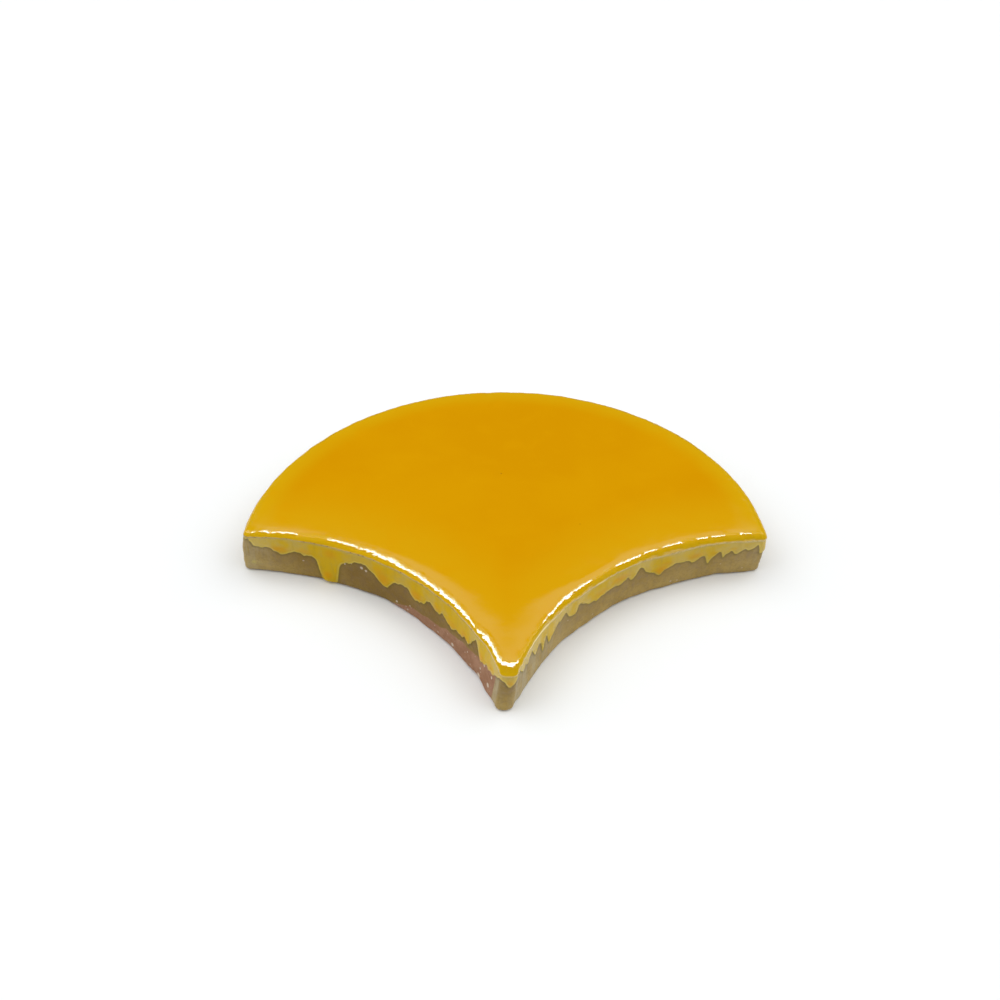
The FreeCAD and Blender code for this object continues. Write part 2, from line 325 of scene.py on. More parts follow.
# upper edge of the bare clay strip at the foot of the walls
bare_curve = by_length(
    [(s_left(t), v) for t, v in ((1, -2.0), (30, -2.0), (36.5, -0.6), (39.5, 1.4), (43, 2.5), (48, 3.1), (53, 3.8), (58, 4.6), (63, 5.2), (68, 5.9), (72, 7.0), (76, 7.9), (79.5, 8.4))]
    + [(s_nose(f), v) for f, v in ((0.0, 8.2), (0.06, 3.0), (0.14, -1.0), (0.5, -2.0), (0.9, -2.0))]
    + [(s_right(t), v) for t, v in ((76, -2), (2, -2))]
    + [(s_crown(f), v) for f, v in ((0.02, -2), (0.14, -1), (0.2, 1.6), (0.27, 2.6), (0.33, 1.2), (0.38, -1.2), (0.55, -1.5), (0.63, 0.8), (0.7, 2.0), (0.78, 1.4), (0.83, -1.0), (0.97, -2))]
)

# how light and golden the wash and runs are drawn along the outline: high on the right flank and the nose, low along
# the middle of the left flank
tone_curve = by_length(
    [(s_left(t), v) for t, v in ((0.5, 1.0), (4, 0.88), (8, 0.6), (13, 0.4), (20, 0.28), (27, 0.1), (36, 0.0), (50, 0.03), (60, 0.15), (72, 0.4), (79, 0.6))]
    + [(s_nose(f), v) for f, v in ((0.2, 0.65), (0.8, 0.75))]
    + [(s_right(t), v) for t, v in ((79, 0.9), (70, 0.85), (60, 0.8), (46, 0.72), (31, 0.75), (18, 0.8), (8, 0.85), (1, 0.9))]
    + [(s_crown(f), v) for f, v in ((0.05, 0.7), (0.15, 0.45), (0.28, 0.1), (0.4, 0.5), (0.52, 0.75), (0.66, 0.15), (0.78, 0.35), (0.93, 0.7))]
)

# larger pale grit in the clay: (length, height, radius)
GRIT = [(s_left(t), z, r) for t, z, r in (
    (29.6, 8.0, 0.42), (30.8, 7.5, 0.38), (25.0, 7.6, 0.26), (14.2, 5.6, 0.24), (26.8, 8.4, 0.2), (39.6, 2.0, 0.34), (43.8, 3.0, 0.24), (43.0, 1.4, 0.26), (53.3, 1.6, 0.24),
    (58.7, 1.7, 0.48), (65.0, 4.1, 0.26), (70.7, 1.4, 0.75), (71.3, 4.0, 0.36), (73.2, 6.4, 0.4), (76.0, 2.9, 0.62), (77.4, 6.4, 0.4),
)] + [(s_right(t), z, r) for t, z, r in ((21.8, 1.6, 0.24), (23.6, 1.8, 0.28), (10.5, 4.0, 0.2), (4.8, 1.9, 0.2), (33.9, 8.2, 0.22), (56.0, 6.2, 0.22), (47.0, 2.2, 0.2))]
grit_seed = np.random.RandomState(12)
for _ in range(46):
    GRIT.append((grit_seed.uniform(1, along[crown_part][-1]), grit_seed.uniform(0.8, 8.5), grit_seed.uniform(0.16, 0.42)))


def grit(s, z):
    best = np.full(s.shape, -9.0)
    for a, b, r in GRIT:
        ds = (s - a + GIRTH / 2) % GIRTH - GIRTH / 2
        best = np.maximum(best, r - np.hypot(ds, z - b))
    return best


# ---------------------------------------------------------------- height of the face
def border(x, y):
    """Smooth distance to the nearest edges, for the cushion."""
    d = [HALF - np.hypot(x, y - CROWN_Y), np.hypot(x + HALF, y - FLANK_Y) - FLANK, np.hypot(x - HALF, y - FLANK_Y) - FLANK]
    d = [np.maximum(v, 1e-3) for v in d]
    return sum(v**-3.0 for v in d) ** (-1 / 3.0)


swell, swell2 = field(11, 14, 40), field(12, 4.5, 11)
TABLE = np.arange(-40.0, 130.0, 0.5)


def eased(points, width):
    """A smooth curve through (length along a flank, value) pairs."""
    t, v = np.array(points, float).T
    k = np.exp(-0.5 * (np.arange(-30, 31) * 0.5 / width) ** 2)
    v = np.convolve(np.pad(np.interp(TABLE, t, v), 30, "edge"), k / k.sum(), "valid")
    return lambda q: np.interp(q, TABLE, v)


# the cushion falls to the flanks: its width and its drop, narrow at the side corners and broad by the nose
LEFT_WIDE = eased([(0, 2.6), (5, 2.8), (15, 3.15), (25, 3.1), (40, 4.4), (50, 6.0), (60, 9.5), (66, 10.4), (71, 9.6), (76, 9.2), (82, 9)], 3.0)
LEFT_DROP = eased([(0, 0.28), (25, 0.30), (42, 0.33), (50, 0.38), (60, 0.46), (73, 0.46), (80, 0.30)], 3.0)
RIGHT_WIDE = eased([(0, 2.4), (5, 2.5), (12, 2.75), (25, 2.3), (35, 3.5), (45, 1.9), (52, 3.4), (58, 6.5), (63, 9.5), (67, 10), (71, 9.6), (76, 9.2), (82, 9)], 2.5)
RIGHT_DROP = eased([(0, 0.28), (25, 0.34), (48, 0.36), (56, 0.38), (63, 0.44), (73, 0.44), (80, 0.30)], 3.0)


def face(x, y):
    x, y = np.asarray(x, float), np.asarray(y, float)
    d_left, d_right = np.hypot(x + HALF, y - FLANK_Y) - FLANK, np.hypot(x - HALF, y - FLANK_Y) - FLANK
    t_l, t_r = (FLANK * (math.pi / 2 - np.arctan2(y - FLANK_Y, HALF + k * x)) for k in (1, -1))
    d_crown = HALF - np.hypot(x, y - CROWN_Y)
    falls = LEFT_DROP(t_l) * np.clip(1 - d_left / LEFT_WIDE(t_l), 0, 1.3) ** 2, RIGHT_DROP(t_r) * np.clip(1 - d_right / RIGHT_WIDE(t_r), 0, 1.3) ** 2, 0.30 * np.clip(1 - d_crown / 8, 0, 1.3) ** 2
    drop = sum(f**3 for f in falls) ** (1 / 3)
    d = border(x, y)
    drop = drop + 0.34 * smooth(y, -42, -19) * np.clip(1 - d / 18, 0, 1) ** 2
    q = np.hypot(0.8 * x, y + 54)  # the nose is rolled over
    drop = drop + 0.21 * (np.clip((4.9 - q) / 2, 0, 1) ** 2 + np.clip(2.9 - q, 0, None)) + 0.05 * np.clip(2.9 - q, 0, 1.6) ** 2 + 0.16 * np.clip(1.3 - q, 0, None)
    return TOP - 0.05 - drop + 0.028 * swell(x, y) + 0.006 * swell2(x, y) * smooth(d, 0.5, 4)


# ---------------------------------------------------------------- rows of the mesh, back to face
rows = []  # (plan positions, heights, attributes)
names = ("drip", "arris", "bare", "pool", "grit", "below")


def add_row(plan, z, **attr):
    a = {k: np.broadcast_to(np.asarray(attr.get(k, 0.0), float), (N,)) for k in names}
    rows.append((np.array(plan), np.broadcast_to(np.asarray(z, float), (N,)).copy(), a))


clay_soft, clay_grain = field(15, 2.6, 7.5), field(16, 0.9, 2.0)


def wall_out(z, s, inset0=0.0):
    """How far the wall stands out from the plan outline at this height, and what lies there."""
    z = np.broadcast_to(z, (N,))
    depth = z_arris - z
    lean_here = lean * np.clip(1 - z / z_arris, 0, 1) ** 1.15
    p = place(-lean_here)
    sd = run_distance(s, depth)
    pool = pooled(s, depth)
    bead = 0.72 * np.exp(-(((s - s_left(20.3)) / 1.6) ** 2) - ((z - 1.4) / 1.7) ** 2) * smooth(sd, 0.0, 0.9)
    clay = 0.055 * clay_soft(p[:, 0], p[:, 1], z) + 0.022 * clay_grain(p[:, 0], p[:, 1], z)
    body = -0.24 * smooth(depth, 0.0, 0.55)
    thick = 0.13 + 0.12 * smooth(depth, 0.4, 3.0) + 0.15 * pool
    thick = thick * (1 - 0.6 * smooth(p[:, 0], 60.0, 62.5) * smooth(p[:, 1], 6, -4))
    rim = np.clip(sd / 1.0, 0, 1)
    glaze = thick * np.sqrt(np.clip(1 - (1 - rim) ** 2, 0, 1)) * smooth(depth, 0.0, 0.7)
    cover = smooth(sd, 0.0, 0.6)
    wob = plan_wobble * smooth(depth, 4.0, 0.0)
    out = lean_here + body + glaze + clay * (1 - 0.75 * cover) * smooth(depth, 0.1, 0.8) + wob + bead
    return out, sd, pool, depth


# back: two rings inside the foot, then the rounded foot
for inset_extra in (2.2, 0.9):
    add_row(place(foot + inset_extra - lean), 0.0, drip=-3, arris=-6, bare=3.0, below=12)
for w in (0.0, 22.0, 44.0, 66.0):
    a = math.radians(w)
    z = foot * (1 - math.cos(a))
    out, sd, pool, depth = wall_out(z, along)
    add_row(
        place(foot * (1 - math.sin(a)) - out), z, drip=np.clip(sd, -3, 3), arris=-6,
        bare=np.clip(np.maximum(bare_curve(along) - z, 0.7 - w * 0.03), -3, 3), pool=pool, grit=grit(along, z), below=depth,
    )
WALL_ROWS = 40
for j in range(WALL_ROWS):
    q = j / (WALL_ROWS - 1)
    q = q + 0.18 * math.sin(math.pi * q) * q * (1 - q) * 1.2
    z = foot + (z_arris - 0.14 - foot) * q
    out, sd, pool, depth = wall_out(z, along)
    bare = bare_curve(along) + 0.25 * clay_soft(edge[:, 0], edge[:, 1] + 30) - z
    bare = np.where(left | nose_part, np.minimum(bare, 1.5 * (s_left(78.7 + 0.1 * z) - along)), bare)
    add_row(
        place(-out), z, drip=np.clip(sd, -3, 3), arris=-depth, bare=np.clip(np.minimum(bare, -sd * 3), -3, 3),
        pool=pool, grit=grit(along, z), below=depth,
    )
# lip: a quarter of an ellipse from the arris up to the cushion, rolled by hand
arris_row = len(rows)
lip_rows = 12
lip_wave, lip_fine = field(17, 2.4, 7.0), field(18, 0.8, 1.8)
lip_wide = by_length(
    [(s_left(t), v) for t, v in ((1, 1.45), (4, 1.65), (13, 1.65), (20, 2.1), (26, 2.25), (32, 2.35), (38, 2.5), (43, 2.1), (50, 1.95), (58, 1.9), (63, 1.65), (66, 1.35), (68.5, 1.1), (70.2, 1.45), (73, 1.8), (77, 2.0), (79, 2.0))]
    + [(s_nose(f), v) for f, v in ((0.15, 1.6), (0.5, 1.6), (0.8, 1.5))]
    + [(s_right(t), v) for t, v in ((1, 1.35), (4, 1.45), (12, 1.75), (17, 1.65), (22, 1.5), (30, 1.35), (36, 1.6), (40, 1.4), (44, 1.0), (47, 0.95), (50, 1.35), (55, 1.85), (59, 1.85), (63, 1.3), (68, 0.85), (74, 0.8), (78, 1.1))]
    + [(s_crown(f), v) for f, v in ((0.03, 1.55), (0.3, 1.7), (0.6, 1.6), (0.97, 1.5))]
)(along)
lip_wide = blur(np.repeat(lip_wide, 1), 3.0) * (1 + 0.045 * lip_wave(edge[:, 0], edge[:, 1], 5))
square = by_length(
    [(s_left(t), v) for t, v in (
        (0.4, 5.5), (1.1, 3.6), (1.6, 2.6), (2.5, 4.5), (4.0, 2.2), (4.8, 2.1), (5.8, 4.5), (7.2, 2.0), (12, 1.9), (13.2, 6.0), (15.0, 6.0), (15.6, 3.4), (16.3, 6.0), (19.4, 6.0), (20.6, 2.0), (28, 2.0), (29, 5.5), (30.2, 1.9), (39, 1.9),
        (40.6, 2.9), (42.5, 2.9), (44, 1.9), (48, 1.9), (50, 2.6), (53, 2.0), (58, 1.9), (66, 2.0), (68.6, 5.0), (70, 1.9), (78.2, 1.9), (79.1, 4.2), (79.8, 2.0),
    )]
    + [(s_nose(f), v) for f, v in ((0.1, 1.9), (0.6, 1.8), (0.8, 2.0))]
    + [(s_right(t), v) for t, v in (
        (1, 6.0), (2.9, 6.0), (3.4, 2.2), (4.0, 2.2), (4.5, 4.5), (5.0, 2.0), (5.8, 2.0), (6.5, 6.0), (9.4, 5.5), (10.2, 2.2), (12.9, 2.0), (13.8, 6.0), (14.7, 2.4), (16.8, 2.3), (17.8, 6.0), (20.8, 5.5), (21.6, 2.4), (23.4, 2.4), (24.2, 3.2), (25, 2.2), (26, 2.2), (26.9, 5.5),
        (28.5, 2.9), (31, 2.7), (32.3, 4.5), (33.3, 2.1), (39.8, 1.9), (40.8, 6.0), (47, 6.0), (48.3, 2.4), (52, 1.9), (60, 1.9), (61.5, 3.0), (63, 2.2), (66, 2.6), (68, 6.0), (78, 6.0),
    )]
    + [(s_crown(f), v) for f, v in ((0.005, 6.0), (0.12, 6.0), (0.2, 3.0), (0.3, 2.3), (0.7, 2.4), (0.8, 3.0), (0.88, 6.0), (0.995, 6.0))]
)(along)
square = square * (1 + 0.16 * lip_fine(edge[:, 0], edge[:, 1], 3))
# this mask also carries a painted shade: the same stretches are coloured darker in the material
worn_and_shade = smooth(blur(square, 0.6), 3.2, 4.2)  # stretches where the lip has lost its shine
square = blur(np.clip(square, 1.85, 2.35), 1.5)
for j in range(lip_rows):
    f = math.radians(90.0 * (j / (lip_rows - 1)) ** 0.92)
    inset = lip_wide * (1 - max(math.cos(f), 0.0) ** (2 / square))
    p = place(inset - plan_wobble)
    fall = 1 - math.sin(f) ** (2 / square)
    p0 = place(np.zeros(N))
    rise = face(p0[:, 0], p0[:, 1]) - z_arris
    z = face(p[:, 0], p[:, 1]) - rise * fall
    # small waves in the rolled glaze, pushed out along the lip's own normal
    nx, nz = math.cos(f) * 0.6, math.sin(f)
    k = math.hypot(nx, nz)
    amount = (0.05 * lip_wave(p[:, 0], p[:, 1], z) + 0.026 * lip_fine(p[:, 0], p[:, 1], z)) * math.sin(f) ** 0.7 * (1.0 - 0.55 * (j / (lip_rows - 1)) ** 2)
    p = place(inset - plan_wobble - amount * nx / k)
    length = 1.15 * math.radians(90.0) * (j / (lip_rows - 1)) ** 0.92 + 0.0
    add_row(p, z + amount * nz / k, drip=3, arris=length, below=0)
for share, fade in ((0.25, 0.4), (0.55, 0.2), (1.0, 0.08)):
    inset = lip_wide + (4.0 - lip_wide) * share
    p = place(inset - plan_wobble * (1 - share) ** 2)
    z = face(p[:, 0], p[:, 1]) + fade * 0.05 * lip_wave(p[:, 0], p[:, 1], TOP)
    add_row(p, z, drip=3, arris=1.8 + inset - lip_wide, below=0)

R = len(rows)
plan = np.stack([r[0] for r in rows])
height = np.stack([r[1] for r in rows])
attr = {k: np.stack([r[2][k] for r in rows]) for k in names}

# faces between the rows
rr, cc = np.meshgrid(np.arange(R - 1), np.arange(N), indexing="ij")
nc = (cc + 1) % N
quads = np.stack([rr * N + cc, rr * N + nc, (rr + 1) * N + nc, (rr + 1) * N + cc], -1).reshape(-1, 4)
quad_row, quad_col = rr.ravel(), cc.ravel()


def fill(row, rings, pitch, keep):
    """Points and triangles inside a row: thinning rings, then an even grid."""
    outer = plan[row]
    pts = [tuple(p) for p in outer]
    for inset, every in rings:
        pts += [tuple(p) for p in place(np.full(N, inset))[::every]]
    m = int(140 / pitch)
    for i in range(-m, m + 1):
        for j in range(-m, m + 1):
            x, y = (i + 0.5 * (j % 2)) * pitch, j * pitch * 0.866
            if abs(x) < 64 and abs(y) < 54 and min(HALF - math.hypot(x, y - CROWN_Y), math.hypot(x + HALF, y - FLANK_Y) - FLANK, math.hypot(x - HALF, y - FLANK_Y) - FLANK) > keep:
                pts.append((x, y))
    loop = [(i, (i + 1) % N) for i in range(N)]
    co, _, faces, orig, _, _ = delaunay_2d_cdt([Vector(p) for p in pts], loop, [], 1, 1e-5)
    if len(co) != len(pts):
        raise SystemExit("the fill of the face made new corners")
    back_to = [o[0] for o in orig]
    co = np.array([tuple(v) for v in co])
    out = np.empty((len(pts), 2))
    out[back_to] = co
    tri = np.array([[back_to[i] for i in f] for f in faces])
    a, b, c = (out[tri[:, i]] for i in range(3))
    area = (b[:, 0] - a[:, 0]) * (c[:, 1] - a[:, 1]) - (b[:, 1] - a[:, 1]) * (c[:, 0] - a[:, 0])
    tri[area < 0] = tri[area < 0][:, ::-1]
    return out[N:], tri


def numbered(tri, row, start):
    return np.where(tri < N, tri + row * N, tri - N + start)


top_pts, top_tri = fill(R - 1, ((4.8, 2), (5.8, 4)), 1.2, 6.8)
back_pts, back_tri = fill(0, (), 2.6, 5.4)
n_ring = R * N
top_tri = numbered(top_tri, R - 1, n_ring)
back_tri = numbered(back_tri, 0, n_ring + len(top_pts))[:, ::-1]

ring_xyz = np.concatenate([plan.reshape(-1, 2), height.reshape(-1, 1)], 1)
top_xyz = np.concatenate([top_pts, face(top_pts[:, 0], top_pts[:, 1])[:, None]], 1)
trowel = field(19, 5, 22)
back_z = 0.05 + 0.05 * trowel(back_pts[:, 0], back_pts[:, 1] * 0.35)
back_xyz = np.concatenate([back_pts, np.clip(back_z, 0, 0.2)[:, None]], 1)
xyz = np.concatenate([ring_xyz, top_xyz, back_xyz])
flat = xyz.copy()

# hand pressing: the corners and the nose are a little off true
shift_x, shift_y = settle(flat[:, 0], flat[:, 1], flat[:, 2])
xyz[:, 0] += shift_x
xyz[:, 1] += shift_y

values = {}
for k in names:
    extra_top = {"drip": 3.0, "arris": 6.0, "bare": -3.0}.get(k, 0.0)
    extra_back = {"drip": -3.0, "arris": -6.0, "bare": 3.0, "below": 12.0, "grit": -9.0}.get(k, 0.0)
    values[k] = np.concatenate([attr[k].ravel(), np.full(len(top_pts), extra_top), np.full(len(back_pts), extra_back)])
top_rows = np.zeros(len(xyz), bool)
top_rows[arris_row * N : n_ring + len(top_pts)] = True
values["bare"][top_rows] = -3.0
values["grit"][top_rows] = -9.0
values["front"] = np.minimum(np.hypot(flat[:, 0] + HALF, flat[:, 1] - FLANK_Y), np.hypot(flat[:, 0] - HALF, flat[:, 1] - FLANK_Y)) - FLANK
values["rim"] = HALF - np.hypot(flat[:, 0], flat[:, 1] - CROWN_Y)
values["dull_and_shade"] = np.concatenate([np.tile(worn_and_shade, R), np.zeros(len(top_pts) + len(back_pts))])
# pale streaks on the wash, strongest on the nose's two edges and the right flank by the nose: partly rubbed wash,
# partly a painted sheen
rub_and_sheen_curve = by_length([(s_left(t), v) for t, v in ((1, 0.5), (5, 0.3), (9, 0.05), (12, 0), (70, 0), (77, 0.35), (79.5, 0.6))] + [(s_nose(f), v) for f, v in ((0.03, 1.0), (0.12, 0.35), (0.5, 0.05), (0.84, 0.35), (0.95, 1.0))] + [(s_right(t), v) for t, v in ((79, 1.0), (74, 0.8), (66, 0.5), (56, 0.15), (44, 0.0), (4, 0.1), (1, 0.4))] + [(s_crown(f), v) for f, v in ((0.02, 0.3), (0.08, 0), (0.95, 0))])
stain = np.zeros(R * N)
for t, high, r, k in ((2.75, 3.2, 0.55, 1.0), (4.2, 3.1, 0.4, 0.45)):  # two stray drops that soaked in
    stain = np.maximum(stain, k * np.exp(-((np.tile(along, R) - s_left(t)) ** 2 + (height.ravel() - high) ** 2) / r**2))
values["stain"] = np.concatenate([stain, np.zeros(len(top_pts) + len(back_pts))])
values["rub_and_sheen"] = np.concatenate([np.tile(rub_and_sheen_curve(along), R), np.zeros(len(top_pts) + len(back_pts))])
rich = smooth(blur(run_depth, 24.0), 2.8, 6.0)
values["rich"] = np.concatenate([np.tile(np.interp(along, run_s, rich, period=GIRTH), R), np.zeros(len(top_pts) + len(back_pts))])
# pale cream arris line and darker lip, most on the right flank by the nose: partly thin pale glaze, partly a painted
# glint on the arris and painted shade on the lip
cream_glint_and_lip_shade_curve = by_length([(s_left(t), 0) for t in (1, 60)] + [(s_left(70), 0.3), (s_left(76), 0.4), (s_nose(0.5), 0.5)] + [(s_right(t), v) for t, v in ((78, 1), (66, 1), (62, 0.6), (58, 0.36), (48, 0.4), (44, 0.7), (41, 0.36), (20, 0.34), (2, 0.4))] + [(s_crown(f), 0.3) for f in (0.05, 0.95)])
values["cream_glint_and_lip_shade"] = np.concatenate([np.tile(cream_glint_and_lip_shade_curve(along), R), np.zeros(len(top_pts) + len(back_pts))])
values["tone"] = np.concatenate([np.tile(np.clip(tone_curve(along), 0, 1), R), np.full(len(top_pts) + len(back_pts), 0.5)])

# ---------------------------------------------------------------- the mesh piece
mesh = bpy.data.meshes.new("glazed_tile")
polys = [tuple(q) for q in quads.tolist()] + [tuple(t) for t in top_tri.tolist()] + [tuple(t) for t in back_tri.tolist()]
mesh.from_pydata((xyz * MM).tolist(), [], polys)
for k, v in values.items():
    a = mesh.attributes.new(k, "FLOAT", "POINT")
    a.data.foreach_set("value", v.astype(np.float32))

# one flat map: the face, the unrolled wall in three strips, and the back
loops = np.concatenate([quads.ravel(), top_tri.ravel(), back_tri.ravel()])
uv = np.zeros((len(loops), 2))
PX = 1.0 / 1024
K_TOP, K_WALL, K_BACK = 5.55, 7.9, 2.6
roll = np.linalg.norm(np.diff(ring_xyz.reshape(R, N, 3), axis=0), axis=2)
climb = np.concatenate([np.zeros((1, N)), np.cumsum(roll, 0)])  # length up each column
lq = quads.reshape(-1)
nq = len(lq)
row_of = np.repeat(quad_row, 4)
vr, vc = lq // N, lq % N
low_wall = 1  # the wall's strip starts at the foot's first ring
on_top, on_back = row_of >= arris_row, row_of < low_wall
anchor = place(lip_wide)
lip_end = arris_row + lip_rows - 1
out_dir = edge - anchor
out_dir /= np.linalg.norm(out_dir, axis=1)[:, None]
spread = np.clip(climb[lip_end] - climb, 0, None)
top_plan = np.where((np.arange(R) < lip_end)[:, None, None], anchor[None] + out_dir[None] * spread[:, :, None], plan)


def face_uv(p):
    return np.stack([(p[:, 0] + 64.6) * K_TOP + 5, (p[:, 1] + 55.2) * K_TOP + 5], -1) * PX


def back_uv(p):
    return np.stack([(p[:, 1] + 55.0) * K_BACK + 733, (p[:, 0] + 64.5) * K_BACK + 6], -1) * PX


uv[:nq][on_top] = face_uv(top_plan[vr, vc])[on_top]
uv[:nq][on_back] = back_uv(plan[vr, vc])[on_back]
third = N // 3 + 1
strip = np.repeat(quad_col // third, 4)
first = strip * third
s_loop = along[vc] + np.where((vc == 0) & (np.repeat(quad_col, 4) == N - 1), GIRTH, 0.0) - along[np.minimum(first, N - 1)]
wall_uv = np.stack([s_loop * K_WALL + 6, (climb[vr, vc] - climb[low_wall][vc]) * K_WALL + 634 + strip * 126], -1) * PX
on_wall = ~on_top & ~on_back
uv[:nq][on_wall] = wall_uv[on_wall]
nt = top_tri.size
tp = flat[top_tri.ravel()][:, :2]
uv[nq : nq + nt] = face_uv(tp)
uv[nq + nt :] = back_uv(flat[back_tri.ravel()][:, :2])
layer = mesh.uv_layers.new(name="OFBake")
layer.data.foreach_set("uv", uv.astype(np.float32).ravel())
mesh.polygons.foreach_set("use_smooth", np.ones(len(polys), bool))
mesh.validate()
mesh.update()
# the face takes its normals from its own height, so that reflections run smoothly over it
normals = np.empty((len(xyz), 3), np.float32)
mesh.vertices.foreach_get("normal", normals.ravel())
top_area = np.zeros(len(xyz), bool)
top_area[(R - 2) * N : n_ring + len(top_pts)] = True
tx, ty, h = flat[top_area, 0], flat[top_area, 1], 0.02
sx = (face(tx + h, ty) - face(tx - h, ty)) / (2 * h)
sy = (face(tx, ty + h) - face(tx, ty - h)) / (2 * h)
up_normal = np.stack([-sx, -sy, np.ones_like(sx)], -1)
normals[top_area] = up_normal / np.linalg.norm(up_normal, axis=1)[:, None]
mesh.normals_split_custom_set_from_vertices(normals.tolist())
tile = bpy.data.objects.new("glazed_tile", mesh)
scene.collection.objects.link(tile)


# ---------------------------------------------------------------- material
def lin(r, g, b):
    f = lambda v: v / 12.92 if v <= 0.04045 else ((v + 0.055) / 1.055) ** 2.4
    return (f(r / 255), f(g / 255), f(b / 255), 1.0)


class Nodes:
    """Short names for building a node tree."""

    def __init__(self, tree):
        self.t = tree

    def new(self, kind, **props):
        n = self.t.nodes.new(kind)
        for k, v in props.items():
            setattr(n, k, v)
        return n

    def put(self, socket, v):
        if isinstance(v, bpy.types.NodeSocket):
            self.t.links.new(v, socket)
        else:
            socket.default_value = v

    def attr(self, name):
        return self.new("ShaderNodeAttribute", attribute_name=name).outputs["Fac"]

    def math(self, op, a, b=0.0, c=0.0, clamp=False):
        n = self.new("ShaderNodeMath", operation=op, use_clamp=clamp)
        for s, v in zip(n.inputs, (a, b, c)):
            self.put(s, v)
        return n.outputs[0]

    def step(self, v, lo, hi, a=0.0, b=1.0, kind="SMOOTHSTEP"):
        n = self.new("ShaderNodeMapRange", interpolation_type=kind, clamp=True)
        for s, x in zip(n.inputs, (v, lo, hi, a, b)):
            self.put(s, x)
        return n.outputs[0]

    def mix(self, f, a, b, blend="MIX"):
        n = self.new("ShaderNodeMix", data_type="RGBA", blend_type=blend)
        self.put(n.inputs[0], f)
        self.put(n.inputs[6], a)
        self.put(n.inputs[7], b)
        return n.outputs[2]

    def noise(self, vec, scale, detail=2.0, rough=0.5, warp=0.0):
        n = self.new("ShaderNodeTexNoise", noise_dimensions="3D")
        self.put(n.inputs["Vector"], vec)
        for k, v in (("Scale", scale), ("Detail", detail), ("Roughness", rough), ("Distortion", warp)):
            self.put(n.inputs[k], v)
        return n.outputs["Fac"]

    def cells(self, vec, scale, feature="F1", jitter=1.0):
        n = self.new("ShaderNodeTexVoronoi", feature=feature)
        self.put(n.inputs["Vector"], vec)
        self.put(n.inputs["Scale"], scale)
        self.put(n.inputs["Randomness"], jitter)
        return n

    def vec(self, op, a, b=(0, 0, 0), scale=1.0):
        n = self.new("ShaderNodeVectorMath", operation=op)
        self.put(n.inputs[0], a)
        if op == "SCALE":
            self.put(n.inputs["Scale"], scale)
        else:
            self.put(n.inputs[1], b)
        return n


mat = bpy.data.materials.new("glazed_terracotta")
mat.use_nodes = True
g = Nodes(mat.node_tree)
g.t.nodes.clear()
out = g.new("ShaderNodeOutputMaterial")
bsdf = g.new("ShaderNodeBsdfPrincipled")
g.t.links.new(bsdf.outputs[0], out.inputs[0])
bsdf.inputs["IOR"].default_value = 1.70

pos = g.vec("SCALE", g.new("ShaderNodeTexCoord").outputs["Object"], scale=1000.0).outputs[0]
tall = g.new("ShaderNodeSeparateXYZ")
g.put(tall.inputs[0], pos)
height_mm = tall.outputs[2]
drip, arris, bare, pool, grit_a, below, tone = (g.attr(k) for k in ("drip", "arris", "bare", "pool", "grit", "below", "tone"))
rich_a, cream_glint_and_lip_shade = g.attr("rich"), g.attr("cream_glint_and_lip_shade")

cloud = g.noise(pos, 0.035, 3.0, 0.55)
blotch = g.noise(pos, 0.16, 3.0, 0.55)
grain = g.noise(pos, 1.6, 3.0, 0.6)
fine = g.noise(pos, 5.0, 2.0, 0.6)
streak_vec = g.vec("MULTIPLY", pos, (1.0, 1.0, 0.16)).outputs[0]
streak = g.noise(streak_vec, 0.9, 3.0, 0.6)

# face glaze: amber, a shade redder where it lies thicker, yellower where it thins to the lip
AMBER, AMBER_DEEP, AMBER_THIN = (0.630, 0.295, 0.0004, 1), (0.613, 0.276, 0.0002, 1), (0.655, 0.390, 0.0030, 1)
glaze = g.mix(g.step(cloud, 0.36, 0.66), AMBER, AMBER_DEEP)
glaze = g.mix(g.step(g.math("ADD", g.attr("front"), g.math("MULTIPLY_ADD", blotch, 4.0, -2.0)), 23.0, 3.0), glaze, (0.632, 0.331, 0.0028, 1))
glaze = g.mix(g.step(g.math("ADD", g.attr("rim"), g.math("MULTIPLY_ADD", blotch, 2.0, -1.0)), 8.5, 1.0), glaze, (0.623, 0.348, 0.0032, 1))
glaze = g.mix(g.math("MULTIPLY", g.step(blotch, 0.5, 0.75), 0.35), glaze, (0.645, 0.306, 0.0010, 1))
thin = g.math("MULTIPLY", g.step(arris, 1.9, 0.7), g.step(streak, 0.25, 0.75, 0.7, 1.0))
# painted shade: where the cream mask is high the thin lip glaze is coloured darker
glaze = g.mix(thin, glaze, g.mix(cream_glint_and_lip_shade, AMBER_THIN, (0.520, 0.335, 0.0035, 1)))
lip_band = g.math("MULTIPLY", g.step(arris, 0.05, 0.25), g.step(arris, 2.3, 1.7))
faded_and_shade = g.math("MULTIPLY", g.attr("dull_and_shade"), lip_band)  # stretches of the lip that lost their shine
# painted shade: the dull stretches of the lip are coloured a darker yellow to take off the light they catch
glaze = g.mix(g.math("MULTIPLY", faded_and_shade, 0.45), glaze, (0.580, 0.350, 0.0035, 1))
holes = g.cells(pos, 0.11)
rare = g.step(holes.outputs["Color"], 0.62, 0.64)
hole = g.math("MULTIPLY", g.step(holes.outputs["Distance"], 0.024, 0.012), rare)
glaze = g.mix(g.math("MULTIPLY", hole, 0.75), glaze, (0.20, 0.075, 0.004, 1))

